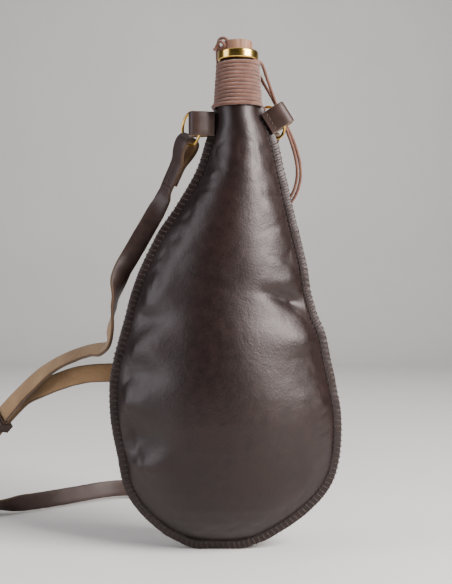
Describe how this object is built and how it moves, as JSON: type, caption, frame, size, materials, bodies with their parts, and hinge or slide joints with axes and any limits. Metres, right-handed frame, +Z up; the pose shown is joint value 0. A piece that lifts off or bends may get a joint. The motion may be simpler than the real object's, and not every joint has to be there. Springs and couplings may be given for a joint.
{
  "type": "canteen",
  "caption": "Teardrop leather wineskin canteen with laced seam, cord-bound neck, wooden stopper on a leash, brass rings and a buckled shoulder strap.",
  "frame": {"origin": "middle of the flat trimmed bottom edge of the seam, on the floor", "axes": "+Z up to the mouth, -Y out of the front panel, +X towards the side whose ring tab is tilted"},
  "size_m": [0.3094, 0.2232, 0.352],
  "materials": {
    "leather": "dark brown grain leather, satin",
    "strap_leather": "tan flesh side with a dark grain side, matt",
    "thread": "waxed dark brown thread",
    "liner": "matt latex",
    "horn": "smooth turned wood",
    "brass": "polished",
    "cord": "soft pinkish tan cord",
    "stopper_wood": "pale brown, vertical grain"
  },
  "bodies": {
    "flask": {"front_panel": "leather", "back_panel": "leather", "seam_stitching": "thread", "bladder": "liner", "neck_tube": "horn", "neck_collar": "brass", "neck_binding": "cord", "leash_strand_a": "cord", "leash_strand_b": "cord", "left_tab": "leather", "right_tab": "leather", "left_tab_stitches": "thread", "right_tab_stitches": "thread", "left_strap": "strap_leather", "right_strap": "strap_leather", "buckle_fold": "strap_leather", "buckle_fold_stitches": "thread"},
    "stopper": {"stopper": "stopper_wood", "stopper_knot": "cord"},
    "left_ring": {"left_ring": "brass", "left_strap_end": "strap_leather", "left_end_stitches": "thread"},
    "right_ring": {"right_ring": "brass", "right_strap_end": "strap_leather", "right_end_stitches": "thread"},
    "buckle_frame": {"buckle_frame": "brass"},
    "buckle_prong": {"buckle_prong": "brass"},
    "keeper": {"keeper": "strap_leather"}
  },
  "joints": [
    {"name": "stopper_lift", "type": "slide", "parent": "flask", "child": "stopper", "axis": [0, 0, 1], "range_m": [0, 0.045]},
    {"name": "left_ring_swing", "type": "hinge", "parent": "flask", "child": "left_ring", "pos_m": [-0.018, 0, 0.2929], "axis": [0, 0, 1], "range_deg": [0, 70]},
    {"name": "right_ring_swing", "type": "hinge", "parent": "flask", "child": "right_ring", "pos_m": [0.03795, 0, 0.29996], "axis": [0.5291, 0, -0.8486], "range_deg": [0, 12]},
    {"name": "buckle_frame_pivot", "type": "hinge", "parent": "flask", "child": "buckle_frame", "pos_m": [-0.187, 0.07741, 0.06488], "axis": [0.5034, -0.561, -0.6571], "range_deg": [0, 3]},
    {"name": "buckle_prong_pivot", "type": "hinge", "parent": "buckle_frame", "child": "buckle_prong", "pos_m": [-0.187, 0.07741, 0.06488], "axis": [0.5034, -0.561, -0.6571], "range_deg": [0, 11]},
    {"name": "keeper_slide", "type": "slide", "parent": "flask", "child": "keeper", "axis": [-0.643, 0.2648, -0.7186], "range_m": [0, 0.003]}
  ]
}
